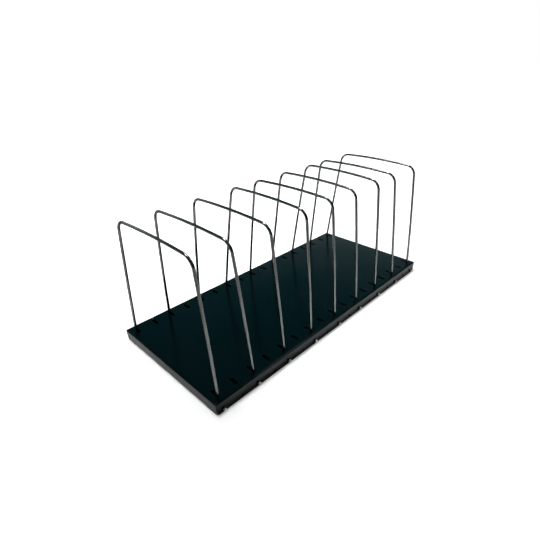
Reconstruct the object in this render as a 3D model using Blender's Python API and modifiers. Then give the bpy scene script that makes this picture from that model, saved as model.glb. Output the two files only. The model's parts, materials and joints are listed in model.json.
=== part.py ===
# Desk file organizer: a folded steel base tray with nine wire dividers standing in its slots.
# Metres, +Z up. X runs along the tray, Y across it, and Z = 0 is the surface that the tray stands on.
import math

import bmesh
import bpy
from mathutils import Matrix, Vector

# Base tray, one folded sheet
sheet_thickness = 0.0010
inner_bend_radius = 0.0003      # inside the four folds
tray_width = 0.1830             # over the outside of the long flanges
flange_depth = 0.0156           # from the top of the plate to the standing edge
end_flange_lift = 0.0011        # between the tabs, an end flange stays this far above the desk
corner_tab_length = 0.0175      # tab that reaches the desk at each end of an end flange
corner_relief = 0.0002          # how far an open corner is cut past the folds

# Rows of slots in the plate, and the foot holes under them in the long flanges
slot_pitch = 0.0254
slot_count = 17
row_end_margin = 0.0099         # from the centre of the last slot to the end of the tray
slot_clearance = 0.0005         # between the wire and each long side of its slot
slot_end_clearance = 0.0008     # past each end of the foot that drops through the slot
leg_to_slot_end = 0.0004        # between the leg and the outer end of its slot
hole_clearance = 0.0005         # between the wire and its foot hole, all round
hole_edge_web = 0.0015          # metal left between a foot hole and the standing edge

# Wire dividers
wire_diameter = 0.0032
divider_height = 0.1549         # where the lines of leg and top bar meet, above the plate
leg_inset = 0.0083              # leg's centre at the top of the plate, from the outside of the flange
leg_draw_in = 0.0168            # how much nearer the middle each leg is where its line meets the bar's
leg_bow = 0.0014                # corner of a leg's two slopes outside the straight, rounded over the leg
bar_crown = 0.0039              # corner of the bar's two slopes above its ends, rounded over the whole bar
top_bend_radius = 0.0140        # on the centre line of the wire
foot_bend_radius = 0.0040
foot_reach = 0.0031             # foot tip past the outside of the flange
tip_round = 0.0009              # rounding of the cut wire end
foot_seat_gap = 0.0003          # between the foot and the bottom of its hole
lean_gap = 0.00015              # left between wire and slot when a divider leans fully over
slots_per_divider = 2           # dividers stand in every second pair of slots

# How far each divider leans in its play, from -1 fully towards -X to 1 fully towards +X
lean_ratios = (-0.14, -0.78, -0.36, 0.65, 0.19, 0.32, 0.95, -0.11, 0.84)

# How far the spring of each wire lets it twist above the plate: its leg's extra slope towards X, +Y side
twist_ratios = (-0.003, -0.001, 0.005, 0.018, -0.005, 0.013, 0.026, 0.001, 0.006)

# Tray, worked out from the sizes above
tray_length = (slot_count - 1) * slot_pitch + 2 * row_end_margin
plate_top = flange_depth
bend_radius = inner_bend_radius + sheet_thickness
corner_notch = bend_radius + corner_relief

# Dividers, worked out from the sizes above
wire_radius = wire_diameter / 2
hole_radius = wire_radius + hole_clearance
hole_height = hole_edge_web + hole_radius
foot_height = hole_edge_web + foot_seat_gap + wire_radius
leg_distance = tray_width / 2 - leg_inset
leg_angle = math.atan(leg_draw_in / divider_height)
leg_length = math.hypot(leg_draw_in, divider_height)
leg_slope = math.tan(leg_angle - math.atan(2 * leg_bow / leg_length))    # at the plate
foot_corner = leg_distance + leg_slope * (plate_top - foot_height)
top_corner = leg_distance - leg_draw_in
tip_distance = tray_width / 2 + foot_reach
tip_rounding = min(tip_round, 0.8 * wire_radius)
divider_count = (slot_count - 1) // slots_per_divider + 1

# Slots, and the play that they leave a divider about an axis halfway between plate and feet
leg_half_width = wire_radius / math.cos(math.atan(leg_slope))
slot_outer_end = leg_distance + leg_half_width + leg_slope * sheet_thickness + leg_to_slot_end
slot_length = tip_distance - foot_corner + wire_radius + 2 * slot_end_clearance
slot_width = wire_diameter + 2 * slot_clearance
hinge_height = (plate_top + foot_height) / 2
lean_play = math.atan((slot_clearance - lean_gap) / (plate_top - hinge_height))

# Facets
bend_segments = 4
slot_end_segments = 6           # on each half-round end
hole_segments = 16
top_bend_segments = 10
bar_segments = 6
leg_segments = 4
foot_bend_segments = 6
wire_bevel_resolution = 4       # gives the wire twelve sides
cut_margin = 0.0020             # how far a punch runs past the sheet


def clear_scene():
    for item in list(bpy.data.objects):
        bpy.data.objects.remove(item, do_unlink=True)


def new_collection(name):
    collection = bpy.data.collections.new(name)
    bpy.context.scene.collection.children.link(collection)
    return collection


def new_material(name, colour, roughness, metallic):
    material = bpy.data.materials.new(name)
    material.use_nodes = True
    shader = material.node_tree.nodes["Principled BSDF"]
    shader.inputs["Base Color"].default_value = (*colour, 1.0)
    shader.inputs["Roughness"].default_value = roughness
    shader.inputs["Metallic"].default_value = metallic
    material.diffuse_color = (*colour, 1.0)
    return material


def mesh_object(name, bm, collection):
    mesh = bpy.data.meshes.new(name)
    bm.to_mesh(mesh)
    bm.free()
    item = bpy.data.objects.new(name, mesh)
    collection.objects.link(item)
    return item


def punch_object(name, bm, collection):
    # A punch is a guide for a Boolean cut, not a piece of the object.
    bmesh.ops.recalc_face_normals(bm, faces=bm.faces)
    punch = mesh_object(name, bm, collection)
    punch.hide_render = True
    punch.display_type = 'WIRE'
    return punch


def cut(item, punch):
    modifier = item.modifiers.new(punch.name, 'BOOLEAN')
    modifier.operation = 'DIFFERENCE'
    modifier.object = punch


def add_prism(bm, outline, low, high, place):
    # A closed prism from an outline of (x, y) points, between two heights, moved by a matrix.
    bottom = [bm.verts.new(place @ Vector((x, y, low))) for x, y in outline]
    top = [bm.verts.new(place @ Vector((x, y, high))) for x, y in outline]
    bm.faces.new(reversed(bottom))
    bm.faces.new(top)
    count = len(outline)
    for i in range(count):
        following = (i + 1) % count
        bm.faces.new((bottom[i], bottom[following], top[following], top[i]))


def obround(length, width, segments):
    # Outline of a slot with half-round ends, long side on Y, centred on the origin.
    radius = width / 2
    straight = length / 2 - radius
    points = []
    for end, start in ((1, 0.0), (-1, math.pi)):
        for step in range(segments + 1):
            angle = start + math.pi * step / segments
            points.append((radius * math.cos(angle), end * straight + radius * math.sin(angle)))
    return points


def slot_places():
    # Place along X of each pair of slots.
    first = -(slot_count - 1) * slot_pitch / 2
    return [first + number * slot_pitch for number in range(slot_count)]


def slot_punch(collection):
    bm = bmesh.new()
    outline = obround(slot_length, slot_width, slot_end_segments)
    middle = slot_outer_end - slot_length / 2
    low = plate_top - sheet_thickness - cut_margin
    for x in slot_places():
        for side in (-1, 1):
            place = Matrix.Translation((x, side * middle, 0.0))
            add_prism(bm, outline, low, plate_top + cut_margin, place)
    return punch_object("slot_punch", bm, collection)


def hole_punch(collection):
    # The two holes of a pair lie on one line across the tray.
    bm = bmesh.new()
    upright_to_y = Matrix(((1, 0, 0, 0), (0, 0, -1, 0), (0, 1, 0, 0), (0, 0, 0, 1)))
    middle = tray_width / 2 - sheet_thickness / 2
    for x in slot_places():
        for side in (-1, 1):
            place = Matrix.Translation((x, side * middle, hole_height)) @ upright_to_y
            bmesh.ops.create_cone(bm, cap_ends=True, segments=hole_segments, radius1=hole_radius,
                                  radius2=hole_radius, depth=sheet_thickness + 2 * cut_margin, matrix=place)
    return punch_object("hole_punch", bm, collection)


def relief_punch(collection):
    # Lifts the middle of each end flange off the desk, with a 45 degree step at each tab.
    bm = bmesh.new()
    half = tray_width / 2 - corner_tab_length
    low = half + cut_margin
    high = half - end_flange_lift
    outline = [(low, -cut_margin), (high, end_flange_lift), (-high, end_flange_lift), (-low, -cut_margin)]
    outline_to_yz = Matrix(((0, 0, 1, 0), (1, 0, 0, 0), (0, 1, 0, 0), (0, 0, 0, 1)))
    for side in (-1, 1):
        middle = side * (tray_length / 2 - sheet_thickness / 2)
        reach = sheet_thickness / 2 + cut_margin
        add_prism(bm, outline, middle - reach, middle + reach, outline_to_yz)
    return punch_object("relief_punch", bm, collection)


def open_corners(bm):
    # Takes a square out of each corner of the sheet, down its whole height, so that the flanges don't meet.
    limits = (tray_length / 2 - corner_notch, tray_width / 2 - corner_notch)
    for axis, limit in enumerate(limits):
        for side in (-1, 1):
            across = Vector((0.0, 0.0, 0.0))
            across[axis] = side
            bmesh.ops.bisect_plane(bm, geom=bm.verts[:] + bm.edges[:] + bm.faces[:], dist=1e-7,
                                   plane_co=across * limit, plane_no=across)
    corners = []
    for face in bm.faces:
        middle = face.calc_center_median()
        if abs(middle.x) > limits[0] and abs(middle.y) > limits[1]:
            corners.append(face)
    bmesh.ops.delete(bm, geom=corners, context='FACES')


def base_tray(collection, punches, material):
    # The outside of the tray as an open box, its top edges folded round and its corners opened,
    # then given the sheet's thickness and punched.
    bm = bmesh.new()
    place = Matrix.Translation((0.0, 0.0, flange_depth / 2))
    place = place @ Matrix.Diagonal((tray_length, tray_width, flange_depth, 1.0))
    bmesh.ops.create_cube(bm, size=1.0, matrix=place)
    underside = [face for face in bm.faces if face.normal.z < -0.5]
    bmesh.ops.delete(bm, geom=underside, context='FACES_ONLY')
    folds = [edge for edge in bm.edges if all(vert.co.z > plate_top / 2 for vert in edge.verts)]
    bmesh.ops.bevel(bm, geom=folds, offset=bend_radius, segments=bend_segments, profile=0.5,
                    affect='EDGES', clamp_overlap=True)
    open_corners(bm)
    tray = mesh_object("base_tray", bm, collection)
    tray.data.materials.append(material)
    tray.data.shade_smooth()
    tray.data.set_sharp_from_angle(angle=math.radians(35))
    wall = tray.modifiers.new("sheet", 'SOLIDIFY')
    wall.thickness = sheet_thickness
    wall.offset = -1.0
    wall.use_even_offset = True
    for punch in punches:
        cut(tray, punch)
    return tray


def rounded_path(corners, radii, segments):
    # Centre line through the corners, each inner corner rounded by an arc of its own radius, or where that is
    # None by the largest arc that its neighbours leave room for.
    inner = range(1, len(corners) - 1)
    sides = [((corners[i - 1] - corners[i]).normalized(), (corners[i + 1] - corners[i]).normalized())
             for i in inner]
    half_angles = [before.angle(after) / 2 for before, after in sides]
    tangents = [radius / math.tan(half) if radius else 0.0 for radius, half in zip(radii, half_angles)]
    tangents = [0.0] + tangents + [0.0]
    for i in inner:
        if radii[i - 1] is None:
            tangents[i] = min((corners[i] - corners[k]).length - tangents[k] for k in (i - 1, i + 1))
    points = [corners[0]]
    for i in inner:
        before, after = sides[i - 1]
        half_angle = half_angles[i - 1]
        radius = tangents[i] * math.tan(half_angle)
        centre = corners[i] + (before + after).normalized() * radius / math.sin(half_angle)
        start = corners[i] + before * tangents[i] - centre
        axis = before.cross(after).normalized()
        sweep = math.pi - 2 * half_angle
        for step in range(segments[i - 1] + 1):
            turn = Matrix.Rotation(-sweep * step / segments[i - 1], 3, axis)
            points.append(centre + turn @ start)
    points.append(corners[-1])
    return points


def divider_wire(name, twist, material):
    # The wire from one foot tip to the other, with the lean axis along Y at the origin. It lies in the YZ
    # plane, and above the plate its twist shifts it along X in proportion to height and to Y.
    foot = foot_height - hinge_height
    plate = plate_top - hinge_height
    top = plate + divider_height
    middle = (leg_distance - leg_draw_in / 2 + leg_bow * math.cos(leg_angle),
              plate + divider_height / 2 + leg_bow * math.sin(leg_angle))
    corners = ((tip_distance, foot), (foot_corner, foot), middle, (top_corner, top))
    side = [Vector((0.0, y, z)) for y, z in corners]
    other = [Vector((0.0, -point.y, point.z)) for point in reversed(side)]
    radii = (foot_bend_radius, None, top_bend_radius)
    segments = (foot_bend_segments, leg_segments, top_bend_segments)
    path = rounded_path(side + [Vector((0.0, 0.0, top + bar_crown))] + other, radii + (None,) + radii[::-1],
                        segments + (bar_segments,) + segments[::-1])
    for point in path:
        point.x = twist * max(point.z - plate, 0.0) * point.y / leg_distance

    # The cut ends are rounded in two steps, by drawing in the wire's radius.
    inward = (path[1] - path[0]).normalized()
    outward = (path[-1] - path[-2]).normalized()
    face = 1.0 - tip_rounding / wire_radius
    shoulder = 1.0 - 0.3 * tip_rounding / wire_radius
    steps = ((0.0, face), (0.3 * tip_rounding, shoulder), (tip_rounding, 1.0))
    head = [(path[0] + inward * distance, radius) for distance, radius in steps]
    tail = [(path[-1] - outward * distance, radius) for distance, radius in reversed(steps)]
    knots = head + [(point, 1.0) for point in path[1:-1]] + tail

    wire = bpy.data.curves.new(name, 'CURVE')
    wire.dimensions = '3D'
    wire.bevel_depth = wire_radius
    wire.bevel_resolution = wire_bevel_resolution
    wire.use_fill_caps = True
    spline = wire.splines.new('POLY')
    spline.points.add(len(knots) - 1)
    for target, (point, radius) in zip(spline.points, knots):
        target.co = (*point, 1.0)
        target.radius = radius
    spline.use_smooth = True
    wire.materials.append(material)
    return wire


def divider(number, material, collection):
    # The object's origin lies on the axis about which the divider leans in its slots.
    name = f"divider_{number}"
    wire = divider_wire(name, twist_ratios[(number - 1) % len(twist_ratios)], material)
    item = bpy.data.objects.new(name, wire)
    item.location = (slot_places()[slots_per_divider * (number - 1)], 0.0, hinge_height)
    item.rotation_euler = (0.0, lean_ratios[(number - 1) % len(lean_ratios)] * lean_play, 0.0)
    collection.objects.link(item)
    return item


def build():
    clear_scene()
    parts = new_collection("desk_file_organizer")
    cutters = new_collection("cutters")
    black_paint = new_material("black_paint", (0.012, 0.015, 0.016), 0.28, 0.0)
    bright_wire = new_material("bright_wire", (0.46, 0.48, 0.47), 0.34, 1.0)
    punches = [slot_punch(cutters), hole_punch(cutters), relief_punch(cutters)]
    base_tray(parts, punches, black_paint)
    for number in range(1, divider_count + 1):
        divider(number, bright_wire, parts)


build()
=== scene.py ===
import json
import math

import bmesh
import bpy
import numpy as np
from mathutils import Matrix, Vector


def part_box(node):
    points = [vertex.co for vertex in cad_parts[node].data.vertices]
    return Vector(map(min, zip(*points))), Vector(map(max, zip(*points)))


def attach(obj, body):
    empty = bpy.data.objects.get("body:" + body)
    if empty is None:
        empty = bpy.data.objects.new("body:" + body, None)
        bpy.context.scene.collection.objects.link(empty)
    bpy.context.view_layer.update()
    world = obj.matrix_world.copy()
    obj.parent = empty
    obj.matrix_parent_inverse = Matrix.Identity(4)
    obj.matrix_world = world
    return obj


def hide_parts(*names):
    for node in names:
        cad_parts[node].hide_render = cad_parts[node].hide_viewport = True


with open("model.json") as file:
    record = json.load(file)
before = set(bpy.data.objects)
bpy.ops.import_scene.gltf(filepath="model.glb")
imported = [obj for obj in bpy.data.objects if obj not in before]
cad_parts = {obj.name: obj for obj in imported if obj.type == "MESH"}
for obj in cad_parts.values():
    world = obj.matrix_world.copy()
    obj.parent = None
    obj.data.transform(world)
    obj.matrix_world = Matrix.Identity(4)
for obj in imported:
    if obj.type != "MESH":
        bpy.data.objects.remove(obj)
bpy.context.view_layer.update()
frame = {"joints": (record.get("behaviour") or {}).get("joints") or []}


# Mesh helpers

def gridQuads(rows, columns, first=0):
    # Corners of the quads of a rows x columns grid of points that are numbered row by row.
    row, column = np.meshgrid(np.arange(rows - 1), np.arange(columns - 1), indexing="ij")
    corner = (first + row * columns + column).ravel()
    return np.stack((corner, corner + 1, corner + columns + 1, corner + columns), axis=1)


def fillMesh(name, points, quads):
    # Puts whole arrays of points and quads into a new mesh.
    mesh = bpy.data.meshes.new(name)
    mesh.vertices.add(len(points))
    mesh.vertices.foreach_set("co", points.astype(np.float32).ravel())
    mesh.loops.add(quads.size)
    mesh.loops.foreach_set("vertex_index", quads.astype(np.int32).ravel())
    mesh.polygons.add(len(quads))
    mesh.polygons.foreach_set("loop_start", np.arange(0, quads.size, 4, dtype=np.int32))
    mesh.update(calc_edges=True)
    return mesh


def closeSeams(mesh, distance):
    # Merges the points that patches share, drops what has shrunk to a line, and turns all faces outwards.
    work = bmesh.new()
    work.from_mesh(mesh)
    bmesh.ops.remove_doubles(work, verts=work.verts, dist=distance)
    bmesh.ops.dissolve_degenerate(work, edges=work.edges, dist=distance)
    bmesh.ops.recalc_face_normals(work, faces=work.faces)
    work.to_mesh(mesh)
    work.free()
    mesh.shade_smooth()


def addPiece(name, mesh, material, body, nodes):
    piece = bpy.data.objects.new(name, mesh)
    bpy.context.scene.collection.objects.link(piece)
    mesh.materials.append(material)
    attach(piece, body)
    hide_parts(*nodes)
    return piece


# Material helpers

def newMaterial(name):
    material = bpy.data.materials.new(name)
    material.use_nodes = True
    return material, material.node_tree, material.node_tree.nodes["Principled BSDF"]


def addNode(tree, kind, inputs=None, **settings):
    # One shader node with its settings; an input is a value or another node's output.
    node = tree.nodes.new("ShaderNode" + kind)
    for key, value in settings.items():
        setattr(node, key, value)
    for key, value in (inputs or {}).items():
        if isinstance(value, bpy.types.NodeSocket):
            tree.links.new(value, node.inputs[key])
        else:
            node.inputs[key].default_value = value
    return node


def addMath(tree, operation, first, second=0.0, third=0.0):
    return addNode(tree, "Math", {0: first, 1: second, 2: third}, operation=operation).outputs[0]


def addNoise(tree, place, scale, detail=2.0, roughness=0.5):
    inputs = {"Vector": place, "Scale": scale, "Detail": detail, "Roughness": roughness}
    return addNode(tree, "TexNoise", inputs).outputs["Fac"]


def addRange(tree, value, lowIn, highIn, lowOut, highOut, kind="LINEAR"):
    # Maps one range onto another, and holds the ends beyond it; SMOOTHSTEP starts and ends smoothly.
    inputs = {"Value": value, "From Min": lowIn, "From Max": highIn, "To Min": lowOut, "To Max": highOut}
    return addNode(tree, "MapRange", inputs, interpolation_type=kind, clamp=True).outputs["Result"]


def addVector(tree, operation, first, second=(0.0, 0.0, 0.0)):
    return addNode(tree, "VectorMath", {0: first, 1: second}, operation=operation)


def addMapping(tree, place, scale):
    return addNode(tree, "Mapping", {"Vector": place, "Scale": scale}).outputs["Vector"]


def addMix(tree, factor, first, second):
    # A colour that runs from the first to the second as the factor goes from 0 to 1.
    inputs = {"Factor": factor, 6: first, 7: second}
    return addNode(tree, "Mix", inputs, data_type="RGBA").outputs[2]


def addBump(tree, shader, height, strength, distance):
    bump = addNode(tree, "Bump", {"Height": height, "Strength": strength, "Distance": distance})
    tree.links.new(bump.outputs["Normal"], shader.inputs["Normal"])


# Black paint of the tray

paintSettings = {
    "colour": (0.0003, 0.0012, 0.0015, 1.0),
    "worn": (0.0006, 0.0017, 0.0020, 1.0),
    "sheen": (0.80, 0.97, 1.0, 1.0),        # the coat's reflection is a little greenish blue
    "ior": 1.30,
    "roughness": (0.13, 0.18),
    "cloudScale": 14.0,             # broad cloudiness of a sprayed and baked coat
    "cloudRange": (0.35, 0.65),     # noise values that stand for the smoothest and the roughest coat
    "grainScale": 900.0,            # and a fine grain over it
    "grainRange": (0.3, 0.7),
    "grainRoughness": 0.015,
    "peelScale": 420.0,
    "peelHeight": 0.000012,
    "peelStrength": 0.5,
    "dustScale": 190.0,             # cells to the metre, of which a few hold a speck
    "dustSize": (0.03, 0.055),      # where a speck's edge starts and ends, in cells
    "dustFrom": (0.965, 0.972),     # a cell holds a speck if its random number is past this
    "dustColour": (0.11, 0.12, 0.12, 1.0),
    "dustRoughness": 0.35,
}


def blackPaint(settings):
    material, tree, shader = newMaterial("blackPaint")
    place = addNode(tree, "TexCoord").outputs["Object"]

    # Roughness of the coat: the broad cloudiness and the fine grain
    cloud = addNoise(tree, place, settings["cloudScale"], 3.0, 0.55)
    grain = addNoise(tree, place, settings["grainScale"], 2.0, 0.6)
    broad = addRange(tree, cloud, *settings["cloudRange"], *settings["roughness"])
    change = settings["grainRoughness"]
    fine = addRange(tree, grain, *settings["grainRange"], -change, change)
    roughness = addMath(tree, "ADD", broad, fine)

    # Sparse specks of dust
    cells = addNode(tree, "TexVoronoi", {"Vector": place, "Scale": settings["dustScale"]}, feature="F1")
    speck = addRange(tree, cells.outputs["Distance"], *settings["dustSize"], 1.0, 0.0)
    chosen = addNode(tree, "SeparateColor", {"Color": cells.outputs["Color"]}).outputs["Red"]
    dust = addMath(tree, "MULTIPLY", speck, addRange(tree, chosen, *settings["dustFrom"], 0.0, 1.0))
    dulled = addMath(tree, "ADD", roughness, addMath(tree, "MULTIPLY", dust, settings["dustRoughness"]))
    tint = addMix(tree, cloud, settings["colour"], settings["worn"])
    tree.links.new(addMix(tree, dust, tint, settings["dustColour"]), shader.inputs["Base Color"])
    tree.links.new(dulled, shader.inputs["Roughness"])

    shader.inputs["IOR"].default_value = settings["ior"]
    shader.inputs["Specular Tint"].default_value = settings["sheen"]

    peel = addNoise(tree, place, settings["peelScale"], 1.5, 0.4)
    addBump(tree, shader, peel, settings["peelStrength"], settings["peelHeight"])
    return material


# Plated wire of the dividers

platingSettings = {
    "light": (0.36, 0.375, 0.365, 1.0),
    "dark": (0.13, 0.14, 0.137, 1.0),
    "edge": (0.10, 0.11, 0.11, 1.0),        # reflection at a glancing angle, as a share of white
    "cutEnd": (0.82, 0.84, 0.83, 1.0),      # the sheared ends of the wire are bare, and this colour is lighter still, a painted glint
    "roughness": (0.14, 0.26),
    "cutEndRoughness": 0.30,                # more than the rest of the wire has
    "drawnScale": (9.0, 9.0, 0.10),         # long streaks of the drawing die, round and along the wire
    "patchScale": (0.8, 0.8, 0.16),
    "patchShare": 0.45,
    "streakRange": (0.45, 1.0),             # sums of the patterns that stand for dark and light
    "grainScale": (7.0, 7.0, 7.0),
    "grainShare": 0.4,
    "wearRange": (0.45, 0.95),              # and for the roughest and the smoothest wire
    "markTurn": 3.3,                        # turn of the rollers' marks in radians, in one wire radius
    "markShare": 0.05,
    "markHeight": 0.06,
    "bumpHeight": 0.00002,
    "bumpStrength": 0.35,
}


def platedWire(settings):
    # The pattern follows the wire by the attribute wireCoord, which holds the cosine and sine of the angle
    # round the wire and the distance along it in wire radii.
    material, tree, shader = newMaterial("platedWire")
    coord = addNode(tree, "Attribute", attribute_name="wireCoord").outputs["Vector"]
    drawn = addNoise(tree, addMapping(tree, coord, settings["drawnScale"]), 1.0, 3.0, 0.6)
    patches = addNoise(tree, addMapping(tree, coord, settings["patchScale"]), 1.0, 2.0, 0.5)
    grain = addNoise(tree, addMapping(tree, coord, settings["grainScale"]), 1.0, 2.0, 0.6)

    # Faint marks of the straightening rollers run round the wire as a helix: the sine of the angle round it
    # and the way along it
    parts = addNode(tree, "SeparateXYZ", {"Vector": coord}).outputs
    angle = addMath(tree, "ARCTAN2", parts["Y"], parts["X"])
    marks = addMath(tree, "SINE", addMath(tree, "MULTIPLY_ADD", parts["Z"], settings["markTurn"], angle))

    # Colour: streaks, patches and marks between dark and light, and the bare cut ends, made lighter as a
    # painted glint
    streak = addMath(tree, "MULTIPLY_ADD", patches, settings["patchShare"], drawn)
    streak = addMath(tree, "MULTIPLY_ADD", marks, settings["markShare"], streak)
    factor = addRange(tree, streak, *settings["streakRange"], 0.0, 1.0)
    tint = addMix(tree, factor, settings["dark"], settings["light"])
    bareEndAndGlintMask = addNode(tree, "Attribute", attribute_name="cutEnd").outputs["Fac"]
    tree.links.new(addMix(tree, bareEndAndGlintMask, tint, settings["cutEnd"]), shader.inputs["Base Color"])

    low, high = settings["roughness"]
    wear = addMath(tree, "MULTIPLY_ADD", grain, settings["grainShare"], drawn)
    worn = addRange(tree, wear, *settings["wearRange"], high, low)
    rough = addMath(tree, "MULTIPLY_ADD", bareEndAndGlintMask, settings["cutEndRoughness"], worn)
    tree.links.new(rough, shader.inputs["Roughness"])
    shader.inputs["Metallic"].default_value = 1.0
    shader.inputs["Specular Tint"].default_value = settings["edge"]
    height = addMath(tree, "MULTIPLY_ADD", marks, settings["markHeight"], drawn)
    addBump(tree, shader, height, settings["bumpStrength"], settings["bumpHeight"])
    return material


blackPaintMaterial = blackPaint(paintSettings)
platedWireMaterial = platedWire(platingSettings)
print("materials made")


# Tray: the flat blank is laid out with its punched slots and holes, and then folded

traySettings = {
    "sheet": 0.0010,
    "innerBend": 0.0009,
    "bendSteps": 14,
    "tuck": (0.0008, 0.0005),   # how far the lower edges of the end and long flanges are drawn in
    "edgeRadius": 0.00014,      # paint rounds every cut edge
    "edgeSteps": 3,
    "cornerRelief": 0.0003,     # cut past the folds at corners; a strip as wide beside it fills the mitre
    "tabLength": 0.0175,
    "endLift": 0.0011,          # between its tabs an end flange stays this far above the desk
    "liftZone": 2.5,            # height over which its mesh is drawn back for that, as a ratio of the lift
    "slotWidth": 0.0042,
    "slotLength": 0.0135,
    "slotOuterEnd": 0.0853,
    "slotCell": (0.0690, 0.0729, 0.0740, 0.0787, 0.0832, 0.0886),   # lines of the mesh round a slot
    "holeRadius": 0.0021,
    "holeHeight": 0.0036,
    "holeCell": (0.0066, 0.0052, 0.0036, 0.0022, 0.0008),           # and round a hole, above the desk
    "cellHalf": 0.0060,
    "cellSteps": 12,
    "rimWidth": 0.0004,         # narrow ring of faces round each cut, which keeps the sheet flat there
    "mergeWithin": 0.000001,
}


def spacedLines(stops):
    # Evenly spaced lines from stop to stop, and their mirror image on the other side of zero; each stop
    # gives its place and the steps that lead to it.
    runs = [np.array([stops[0][0]])]
    for (start, unused), (end, steps) in zip(stops, stops[1:]):
        runs.append(np.linspace(start, end, steps + 1)[1:])
    positive = np.concatenate(runs)
    return np.concatenate((-positive[:0:-1], positive))


def cutProfile(tray):
    # Section of a cut edge, as the distance back from the cut and the depth in the sheet: a quarter round
    # from the outer face, the straight cut, and a quarter round to the inner face.
    angle = np.linspace(0.0, math.pi / 2, tray["edgeSteps"] + 1)
    back = tray["edgeRadius"] * (1.0 - np.sin(angle))
    depth = tray["edgeRadius"] * (1.0 - np.cos(angle))
    return np.concatenate((back, back[::-1])), np.concatenate((depth, tray["sheet"] - depth[::-1]))


def obroundPoints(centre, halfRound, halfStraight, endSteps, sideSteps):
    # Outline of a slot, counter-clockwise from the lower left: half a turn round the lower end, up the
    # right side, half a turn round the upper end and down the left side.
    lower = np.linspace(math.pi, 2 * math.pi, endSteps + 1)[:-1]
    rise = np.linspace(-halfStraight, halfStraight, sideSteps + 1)[:-1]
    right = np.stack((halfRound * np.cos(lower), halfRound * np.sin(lower) - halfStraight), axis=1)
    side = np.stack((np.full(sideSteps, halfRound), rise), axis=1)
    half = np.concatenate((right, side))
    return np.array(centre) + np.concatenate((half, -half))


def circlePoints(centre, radius, endSteps, sideSteps):
    # Outline of a round hole with as many points as its cell's border, which start at the same corner.
    count = 2 * (endSteps + sideSteps)
    start = -math.pi / 2 - math.pi * endSteps / count
    angle = start + 2 * math.pi * np.arange(count) / count
    return np.array(centre) + radius * np.stack((np.cos(angle), np.sin(angle)), axis=1)


def cellBorder(uLines, vLines):
    # Border points of a cell, counter-clockwise from its lower left corner.
    low = np.stack((uLines[:-1], np.full(len(uLines) - 1, vLines[0])), axis=1)
    right = np.stack((np.full(len(vLines) - 1, uLines[-1]), vLines[:-1]), axis=1)
    high = np.stack((uLines[:0:-1], np.full(len(uLines) - 1, vLines[-1])), axis=1)
    left = np.stack((np.full(len(vLines) - 1, uLines[0]), vLines[:0:-1]), axis=1)
    return np.concatenate((low, right, high, left))


def punchedCell(border, outlineAt, tray):
    # Rings from the cell's border on the outer face in to the cut, through the sheet and back out to the
    # border on the inner face. outlineAt gives the punched outline grown by a distance.
    back, depth = cutProfile(tray)
    rings = [(border, 0.0), (outlineAt(tray["rimWidth"]), 0.0)]
    rings += [(outlineAt(distance), level) for distance, level in zip(back, depth)]
    rings += [(outlineAt(tray["rimWidth"]), tray["sheet"]), (border, tray["sheet"])]
    points = np.array([np.column_stack((ring, np.full(len(ring), level))) for ring, level in rings])
    points = np.concatenate((points, points[:, :1]), axis=1)
    return points.reshape(-1, 3), gridQuads(points.shape[0], points.shape[1])


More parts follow.
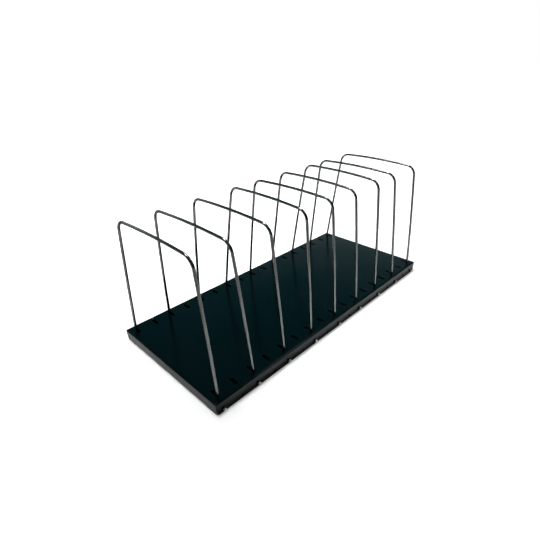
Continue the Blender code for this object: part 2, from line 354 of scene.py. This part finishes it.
def foldedTray(tray):
    low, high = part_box("base_tray")
    length, width, plateTop = high.x - low.x, high.y - low.y, high.z
    bend = tray["innerBend"] + tray["sheet"]
    arc = bend * math.pi / 2
    edge = tray["edgeRadius"]
    foldStart = np.array((length / 2 - bend, width / 2 - bend))
    drop = plateTop - bend
    flapEnd = foldStart + arc + drop
    notch = np.array((length, width)) / 2 - bend - tray["cornerRelief"] - edge
    places = np.array([joint["pos_m"][0] for joint in frame["joints"]])
    places = np.sort(np.concatenate((places, (places[1:] + places[:-1]) / 2)))
    half, steps = tray["cellHalf"], tray["cellSteps"]

    # Lines of the blank along and across the tray, closer together where it is punched or folded
    uStops = [(0.0, 0), (half, steps // 2)]
    for place in places[places > half]:
        uStops += [(place - half, 3), (place + half, steps)]
    uStops += [(notch[0], 2), (foldStart[0], 1), (foldStart[0] + arc, tray["bendSteps"])]
    liftStart = flapEnd[0] - tray["liftZone"] * tray["endLift"]
    uStops += [(liftStart, 4), (flapEnd[0] - edge, 2)]
    vStops = [(0.0, 0), (tray["slotCell"][0], 6)] + [(value, 1) for value in tray["slotCell"][1:]]
    vStops += [(notch[1], 1), (foldStart[1], 1), (foldStart[1] + arc, tray["bendSteps"])]
    holeRows = [foldStart[1] + arc + drop - height for height in tray["holeCell"]]
    vStops += [(holeRows[0], 3)] + [(value, 1) for value in holeRows[1:]] + [(flapEnd[1] - edge, 1)]
    uLines, vLines = spacedLines(uStops), spacedLines(vStops)

    # Unit cells of the sheet: a cross without its corners, less the cells that are punched
    uMiddle, vMiddle = (uLines[1:] + uLines[:-1]) / 2, (vLines[1:] + vLines[:-1]) / 2
    inCross = (abs(uMiddle)[:, None] < notch[0]) | (abs(vMiddle)[None, :] < notch[1])
    inColumn = (abs(uMiddle[:, None] - places[None, :]) < half).any(axis=1)
    inSlotRow = (abs(vMiddle) > tray["slotCell"][0]) & (abs(vMiddle) < tray["slotCell"][-1])
    inHoleRow = (abs(vMiddle) > holeRows[0]) & (abs(vMiddle) < holeRows[-1])
    plain = inCross & ~(inColumn[:, None] & (inSlotRow | inHoleRow)[None, :])

    uGrid, vGrid = np.meshgrid(uLines, vLines, indexing="ij")
    flat = np.stack((uGrid.ravel(), vGrid.ravel()), axis=1)
    quads = gridQuads(len(uLines), len(vLines)).reshape(len(uMiddle), len(vMiddle), 4)
    outer = np.column_stack((flat, np.zeros(len(flat))))
    inner = np.column_stack((flat, np.full(len(flat), tray["sheet"])))
    patches = [(outer, quads[plain]), (inner, quads[plain])]

    # Punched cells of both rows of slots and both rows of foot holes
    slotHalf = tray["slotLength"] / 2
    slotRound = tray["slotWidth"] / 2
    slotMiddle = tray["slotOuterEnd"] - slotHalf
    holeMiddle = foldStart[1] + arc + drop - tray["holeHeight"]
    for place in places:
        columns = uLines[abs(uLines - place) < half + tray["mergeWithin"]]
        for side in (-1, 1):
            slotRows = np.sort(side * np.array(tray["slotCell"]))
            flangeRows = np.sort(side * np.array(holeRows))
            slotAt = lambda grow, centre=(place, side * slotMiddle), rows=slotRows: obroundPoints(
                centre, slotRound + grow, slotHalf - slotRound, steps, len(rows) - 1)
            holeAt = lambda grow, centre=(place, side * holeMiddle), rows=flangeRows: circlePoints(
                centre, tray["holeRadius"] + grow, steps, len(rows) - 1)
            patches.append(punchedCell(cellBorder(columns, slotRows), slotAt, tray))
            patches.append(punchedCell(cellBorder(columns, flangeRows), holeAt, tray))

    # Between its tabs an end flange is shorter: the last rows of points are drawn back from the desk
    def liftEnds(points):
        tab = width / 2 - tray["tabLength"]
        share = np.clip((tab - abs(points[:, 1])) / tray["endLift"], 0.0, 1.0)
        along = np.clip((abs(points[:, 0]) - liftStart) / (flapEnd[0] - liftStart), 0.0, None)
        points[:, 0] -= np.sign(points[:, 0]) * share * along * tray["endLift"]
        return points

    flat = liftEnds(flat)
    for points, unused in patches[:2]:
        liftEnds(points)

    # Cut edge all round the blank, carried along its border on mitred corners
    present = np.pad(inCross, 1)
    number = np.arange(len(flat)).reshape(len(uLines), len(vLines))
    starts, ends = [], []
    for before, after, first, second in (
            (present[:-1, 1:-1], present[1:, 1:-1], number[:, :-1], number[:, 1:]),
            (present[1:-1, :-1], present[1:-1, 1:], number[1:, :], number[:-1, :])):
        rising, falling = after & ~before, before & ~after
        starts += [second[rising], first[falling]]
        ends += [first[rising], second[falling]]
    starts, ends = np.concatenate(starts), np.concatenate(ends)
    run = flat[ends] - flat[starts]
    outward = np.stack((run[:, 1], -run[:, 0]), axis=1) / np.linalg.norm(run, axis=1)[:, None]
    mitre = np.zeros_like(flat)
    np.add.at(mitre, starts, outward)
    np.add.at(mitre, ends, outward)
    mitre[starts] *= 2.0 / (mitre[starts] ** 2).sum(axis=1)[:, None]
    back, depth = cutProfile(tray)
    hem = flat[starts][None] + (edge - back)[:, None, None] * mitre[starts][None]
    hem = np.concatenate((hem, np.broadcast_to(depth[:, None, None], hem.shape[:2] + (1,))), axis=2)
    position = np.full(len(flat), -1)
    position[starts] = np.arange(len(starts))
    near, far = np.arange(len(starts)), position[ends]
    levels = np.arange(len(depth) - 1)[:, None] * len(starts)
    below = levels + len(starts)
    hemQuads = np.stack((levels + near, levels + far, below + far, below + near), axis=2)
    patches.append((hem.reshape(-1, 3), hemQuads.reshape(-1, 4)))

    # All patches together
    points, allQuads, count = [], [], 0
    for patchPoints, patchQuads in patches:
        points.append(patchPoints)
        allQuads.append(patchQuads + count)
        count += len(patchPoints)
    points, allQuads = np.concatenate(points), np.concatenate(allQuads)
    used = np.unique(allQuads)
    renumber = np.zeros(len(points), dtype=int)
    renumber[used] = np.arange(len(used))
    points, allQuads = points[used], renumber[allQuads]

    # Folding: past a fold line a point first turns about the fold's centre, at the bend radius less its
    # depth, and then runs down, drawn in a little towards the desk. The ends of a flange widen by the same
    # turn, so that two flanges meet on a mitre at each corner.
    past = abs(points[:, :2]) - foldStart
    turn = np.clip(past / arc, 0.0, 1.0) * math.pi / 2
    down = np.clip(past - arc, 0.0, None).sum(axis=1)
    radius = bend - points[:, 2]
    height = drop + radius * np.cos(turn.sum(axis=1)) - down
    lower = np.clip(1.0 - height / drop, 0.0, 1.0)
    widening = np.clip((abs(points[:, :2]) - notch) / tray["cornerRelief"] + 1.0, 0.0, 1.0)
    swing = np.sin(turn) + widening * np.sin(turn[:, ::-1])
    across = np.minimum(abs(points[:, :2]), foldStart)
    across = across + (radius[:, None] - np.outer(lower, tray["tuck"])) * swing
    folded = np.column_stack((np.sign(points[:, :2]) * across, height))

    mesh = fillMesh("foldedTray", folded, allQuads)
    closeSeams(mesh, tray["mergeWithin"])
    return mesh


trayMesh = foldedTray(traySettings)
tray = addPiece("foldedTray", trayMesh, blackPaintMaterial, "base", ["base_tray"])
weighted = tray.modifiers.new("flatFaces", "WEIGHTED_NORMAL")
weighted.keep_sharp = True
print("tray folded:", len(tray.data.polygons), "faces")


# Dividers: a wire carried along a filleted centre line, twisted and turned to each divider's lean

dividerSettings = {
    "wireRadius": 0.0017,
    "sides": 28,
    "footRadius": 0.0040,
    "topRadius": 0.0140,
    "footSteps": 14,
    "legSteps": 36,
    "topSteps": 28,
    "barSteps": 30,
    "straightStep": 0.004,
    "legInset": 0.0083,
    "legDrawIn": 0.0168,
    "height": 0.1549,           # where the lines of leg and top bar meet, above the plate
    "legBow": 0.0014,           # a leg's middle corner outside the straight
    "barCrown": 0.0039,         # the bar's middle corner above its ends
    "twists": (-0.003, -0.001, 0.005, 0.018, -0.005, 0.013, 0.026, 0.001, 0.006),   # one for each divider
    "footHeight": 0.0034,
    "footReach": 0.0031,
    "tipLength": 0.0010,
    "tipSteps": 8,
    "tipPower": 2.3,            # 2 rounds a cut end as an ellipse, and more leaves it blunter
    "mergeWithin": 0.000001,
}


def filletedPath(corners, radii, arcSteps, straightStep):
    # Centre line in the plane across the tray: straight runs between the corners, and at each inner corner
    # an arc that touches both runs. Where the radius is None the arc takes all the length that its
    # neighbours leave.
    legs = np.diff(corners, axis=0)
    lengths = np.linalg.norm(legs, axis=1)
    headings = legs / lengths[:, None]
    sweeps = np.arccos(np.clip((headings[:-1] * headings[1:]).sum(axis=1), -1.0, 1.0))
    fixed = np.array([radius or 0.0 for radius in radii])
    taken = np.concatenate(((0.0,), fixed * np.tan(sweeps / 2), (0.0,)))
    room = np.minimum(lengths[:-1] - taken[:-2], lengths[1:] - taken[2:])
    arcRadii = np.where(fixed > 0.0, fixed, room / np.tan(sweeps / 2))
    pieces, last = [], corners[0]
    for corner, before, after, sweep, radius, steps in zip(
            corners[1:-1], headings[:-1], headings[1:], sweeps, arcRadii, arcSteps):
        start = corner - before * radius * math.tan(sweep / 2)
        centre = start + radius * (after - before * math.cos(sweep)) / math.sin(sweep)
        count = max(1, round(float(np.linalg.norm(start - last)) / straightStep))
        if np.linalg.norm(start - last) > 1e-6:
            pieces.append(last + (start - last) * np.linspace(0.0, 1.0, count, endpoint=False)[:, None])
        turn = np.linspace(0.0, sweep, steps, endpoint=False)[:, None]
        pieces.append(centre + (start - centre) * np.cos(turn) + before * radius * np.sin(turn))
        last = centre + (start - centre) * math.cos(sweep) + before * radius * math.sin(sweep)
    count = max(1, round(float(np.linalg.norm(corners[-1] - last)) / straightStep))
    pieces.append(last + (corners[-1] - last) * np.linspace(0.0, 1.0, count + 1)[:, None])
    return np.concatenate(pieces)


def wirePath(wire, twist):
    # The flat outline of a divider, in which each leg bows outwards and the bar is crowned, and above the
    # plate shifted along the tray by the twist times height times the share of the way out to a leg.
    low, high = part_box("base_tray")
    width, plateTop = high.y - low.y, high.z
    legFoot = width / 2 - wire["legInset"]
    tip = width / 2 + wire["footReach"]
    lean = math.atan(wire["legDrawIn"] / wire["height"])
    footSlope = math.tan(lean - math.atan(2 * wire["legBow"] * math.cos(lean) / wire["height"]))
    side = np.array(((tip, wire["footHeight"]),
                     (legFoot + footSlope * (plateTop - wire["footHeight"]), wire["footHeight"]),
                     (legFoot - wire["legDrawIn"] / 2 + wire["legBow"] * math.cos(lean),
                      plateTop + wire["height"] / 2 + wire["legBow"] * math.sin(lean)),
                     (legFoot - wire["legDrawIn"], plateTop + wire["height"])))
    peak = np.array(((0.0, plateTop + wire["height"] + wire["barCrown"]),))
    corners = np.concatenate((side, peak, side[::-1] * (-1.0, 1.0)))
    radii = [wire["footRadius"], None, wire["topRadius"]]
    radii += [None] + radii[::-1]
    steps = [wire[key] for key in ("footSteps", "legSteps", "topSteps")]
    flat = filletedPath(corners, radii, steps + [wire["barSteps"]] + steps[::-1], wire["straightStep"])
    shift = twist * np.maximum(flat[:, 1] - plateTop, 0.0) * flat[:, 0] / legFoot
    return np.column_stack((shift, flat))


def dividerMesh(name, wire, twist, place, hinge, lean):
    # A circle carried along the centre line; towards each cut end its radius follows a blunt quarter
    # ellipse. The whole wire is then turned by the lean about the line across the tray at the hinge.
    path = wirePath(wire, twist)

    # Extra rings at the ends, crowded towards the tip
    share = 1.0 - np.cos(np.linspace(0.0, math.pi / 2, wire["tipSteps"] + 1))
    inward = np.sign(path[1] - path[0]) * (0.0, 1.0, 0.0)
    head = path[0] + inward * (share * wire["tipLength"])[:, None]
    tail = head[::-1] * (1.0, -1.0, 1.0)
    path = np.concatenate((head, path[1:-1], tail))
    shrink = (1.0 - (1.0 - share) ** wire["tipPower"]) ** (1.0 / wire["tipPower"])
    full = np.ones(len(path) - 2 * len(share))
    radius = wire["wireRadius"] * np.concatenate((shrink, full, shrink[::-1]))

    along = np.concatenate(((0.0,), np.cumsum(np.linalg.norm(np.diff(path, axis=0), axis=1))))
    tangent = np.gradient(path, along, axis=0)
    tangent /= np.linalg.norm(tangent, axis=1)[:, None]
    aside = np.cross((1.0, 0.0, 0.0), tangent)
    aside /= np.linalg.norm(aside, axis=1)[:, None]
    level = np.cross(tangent, aside)
    angle = np.linspace(0.0, 2 * math.pi, wire["sides"] + 1)[None, :, None]
    circle = np.cos(angle) * aside[:, None] + np.sin(angle) * level[:, None]
    tube = path[:, None] + radius[:, None, None] * circle
    x, y, z = tube[..., 0], tube[..., 1], tube[..., 2] - hinge
    turned = np.stack((place + x * math.cos(lean) + z * math.sin(lean), y,
                       hinge - x * math.sin(lean) + z * math.cos(lean)), axis=2)
    coord = np.stack(np.broadcast_arrays(np.cos(angle[..., 0]), np.sin(angle[..., 0]),
                                         (along / wire["wireRadius"])[:, None]), axis=2)
    mesh = fillMesh(name, turned.reshape(-1, 3), gridQuads(len(path), angle.shape[1]))
    attribute = mesh.attributes.new("wireCoord", "FLOAT_VECTOR", "POINT")
    attribute.data.foreach_set("vector", coord.astype(np.float32).ravel())
    # The tip rings get the bare metal's colour, lightened as a painted glint, and a rougher finish
    atEnd = np.zeros(turned.shape[:2], dtype=np.float32)
    atEnd[:wire["tipSteps"] + 1], atEnd[-wire["tipSteps"] - 1:] = 1.0, 1.0
    mesh.attributes.new("cutEnd", "FLOAT", "POINT").data.foreach_set("value", atEnd.ravel())
    closeSeams(mesh, wire["mergeWithin"])
    return mesh


# A lean joint's range is even about upright, so at rest a divider leans by minus the range's middle.
for number, joint in enumerate(frame["joints"], start=1):
    lean = -math.radians(sum(joint["range_deg"]) / 2)
    place, hinge = joint["pos_m"][0], joint["pos_m"][2]
    twist = dividerSettings["twists"][number - 1]
    mesh = dividerMesh(f"wireDivider{number}", dividerSettings, twist, place, hinge, lean)
    addPiece(mesh.name, mesh, platedWireMaterial, joint["child"], [f"divider_{number}"])


# Floor, backdrop and lights

studioSettings = {
    "floorSize": 24.0,
    "floorColour": (0.86, 0.86, 0.86, 1.0),
    "floorRoughness": 0.9,
    "underColour": (0.06, 0.06, 0.06, 1.0),     # painted shade: the floor that the tray covers is given a dark colour, seen through its slots
    "margin": (0.003, 0.0),             # the painted shade on the covered floor ends this far inside the tray's ends and sides
    "coveredEdge": 0.0005,
    "edgeGlow": (0.0, 0.0015, 0.36),    # between which distances past that the floor whitens, how much
    "nearGlow": (0.0, 0.10, 0.35),
    "farGlow": (0.10, 0.70, 0.85),
    "glossyShare": 0.15,                # share of the near and far glow that the tray and wires reflect
    "whiteUpTo": 12.0,          # top of the white backdrop in degrees, as seen from the object
    "darkFrom": 30.0,           # and the height at which it has faded out
    "backdropTowards": (0.766, 0.643, 0.0),
    "backdropHalf": (35.0, 65.0),   # degrees to each side of that over which the backdrop ends
    "overBackdrop": (0.016, 0.19, 0.23, 1.0),
    "roomColour": (0.025, 0.03, 0.03, 1.0),
    "white": (1.0, 1.0, 1.0, 1.0),
    "softboxes": {              # place, aim, size, power in watts, and spread in degrees
        "keyLight": ((-0.14, 0.42, 1.68), (0.08, 0.06, 0.0), (0.6, 0.6), 2.0, 38.0),
        "sideLight": ((0.72, -0.42, 1.12), (0.10, 0.0, 0.0), (0.5, 0.3), 0.25, 60.0),
        "backLight": ((-0.46, 1.72, 0.91), (0.0, 0.0, 0.1), (1.0, 0.6), 2.6, 180.0),
    },
}


def reflectedOrClear(tree):
    # One for rays off glossy surfaces and through clear ones.
    path = addNode(tree, "LightPath").outputs
    return addMath(tree, "MAXIMUM", path["Is Glossy Ray"], path["Is Transmission Ray"])


def paleFloor(settings):
    # The floor's white to the eye grows with the distance from the tray, so that its shadow stays. Under
    # the tray the floor carries a painted shade.
    bpy.ops.mesh.primitive_plane_add(size=settings["floorSize"])
    floor = bpy.context.object
    floor.name = "floor"
    material, tree, shader = newMaterial("paleFloor")
    shader.inputs["Roughness"].default_value = settings["floorRoughness"]
    shader.inputs["Specular IOR Level"].default_value = 0.0
    shader.inputs["Emission Color"].default_value = settings["white"]
    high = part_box("base_tray")[1]
    place = addNode(tree, "TexCoord").outputs["Object"]

    # Distance from the covered rectangle, where the shade is painted: the length of what is left of the
    # mirrored place past its corner
    corner = (high.x - settings["margin"][0], high.y - settings["margin"][1], 0.0)
    mirrored = addVector(tree, "ABSOLUTE", place).outputs["Vector"]
    beyond = addVector(tree, "SUBTRACT", mirrored, corner).outputs["Vector"]
    outside = addVector(tree, "MAXIMUM", beyond, (0.0, 0.0, 0.0)).outputs["Vector"]
    distance = addVector(tree, "LENGTH", outside).outputs["Value"]
    # Painted shade: the floor under the tray takes a dark colour, so that the slots look black
    paintedShadeMask = addRange(tree, distance, 0.0, settings["coveredEdge"], 1.0, 0.0)
    tint = addMix(tree, paintedShadeMask, settings["floorColour"], settings["underColour"])
    tree.links.new(tint, shader.inputs["Base Color"])
    glows = [settings[key] for key in ("edgeGlow", "nearGlow", "farGlow")]
    edge, near, far = (addRange(tree, distance, start, end, 0.0, level) for start, end, level in glows)
    broad = addMath(tree, "ADD", near, far)
    camera = addNode(tree, "LightPath").outputs["Is Camera Ray"]
    dimmed = addMath(tree, "MULTIPLY", broad, settings["glossyShare"])
    reflected = addMath(tree, "MULTIPLY", dimmed, reflectedOrClear(tree))
    strength = addMath(tree, "MULTIPLY_ADD", addMath(tree, "ADD", broad, edge), camera, reflected)
    tree.links.new(strength, shader.inputs["Emission Strength"])
    floor.data.materials.append(material)


def studioWorld(settings):
    # Brightness by direction: a white backdrop behind the object, up to a height and to each side by an
    # angle, a dim greenish blue wall over it for what shines, and a dark room around. The camera sees
    # white all round.
    world = bpy.data.worlds.new("studio")
    bpy.context.scene.world = world
    world.use_nodes = True
    tree = world.node_tree
    direction = addNode(tree, "TexCoord").outputs["Generated"]
    up = addNode(tree, "SeparateXYZ", {"Vector": direction}).outputs["Z"]
    low, high = (math.sin(math.radians(settings[key])) for key in ("whiteUpTo", "darkFrom"))
    inner, outer = (math.cos(math.radians(degrees)) for degrees in settings["backdropHalf"])
    level = addVector(tree, "MULTIPLY", direction, (1.0, 1.0, 0.0)).outputs["Vector"]
    heading = addVector(tree, "NORMALIZE", level).outputs["Vector"]
    facing = addVector(tree, "DOT_PRODUCT", heading, settings["backdropTowards"]).outputs["Value"]
    rising = addRange(tree, up, low, high, 1.0, 0.0, "SMOOTHSTEP")
    sideways = addRange(tree, facing, outer, inner, 0.0, 1.0, "SMOOTHSTEP")
    rays = addNode(tree, "LightPath").outputs
    white = addMath(tree, "MAXIMUM", addMath(tree, "MULTIPLY", rising, sideways), rays["Is Camera Ray"])
    shining = addMath(tree, "MULTIPLY", sideways, rays["Is Glossy Ray"])
    dark = addMix(tree, shining, settings["roomColour"], settings["overBackdrop"])
    tint = addMix(tree, white, dark, settings["white"])
    tree.links.new(tint, tree.nodes["Background"].inputs["Color"])


def softbox(name, place, aim, size, power, spread):
    # The spread is the angle that the softbox's grid lets through, in degrees.
    light = bpy.data.lights.new(name, "AREA")
    light.shape = "RECTANGLE"
    light.size, light.size_y = size
    light.energy = power
    light.spread = math.radians(spread)
    lamp = bpy.data.objects.new(name, light)
    lamp.location = place
    lamp.rotation_euler = (Vector(aim) - Vector(place)).to_track_quat("-Z", "Y").to_euler()
    lamp.visible_camera = False
    bpy.context.scene.collection.objects.link(lamp)


paleFloor(studioSettings)
studioWorld(studioSettings)
for name, values in studioSettings["softboxes"].items():
    softbox(name, *values)
print("studio set:", len(studioSettings["softboxes"]), "softboxes")


# Camera

cameraSettings = {
    "place": (-0.37731, -0.33319, 0.32880),
    "aim": (0.04740, 0.08526, 0.00038),
    "roll": -0.86,              # degrees
    "lens": 26.57,              # millimetres
    "sensor": 36.0,
    "clip": (0.01, 100.0),
}


def photoCamera(settings):
    # A pinhole camera fitted to the tray's edges and the wires.
    data = bpy.data.cameras.new("photoCamera")
    data.lens, data.sensor_width = settings["lens"], settings["sensor"]
    data.clip_start, data.clip_end = settings["clip"]
    camera = bpy.data.objects.new("photoCamera", data)
    bpy.context.scene.collection.objects.link(camera)
    sight = Vector(settings["aim"]) - Vector(settings["place"])
    view = sight.to_track_quat("-Z", "Y").to_matrix().to_4x4()
    roll = Matrix.Rotation(math.radians(settings["roll"]), 4, "Z")
    camera.matrix_world = Matrix.Translation(settings["place"]) @ view @ roll
    bpy.context.scene.camera = camera


photoCamera(cameraSettings)
bpy.context.scene.view_settings.view_transform = "Standard"
print("camera set")
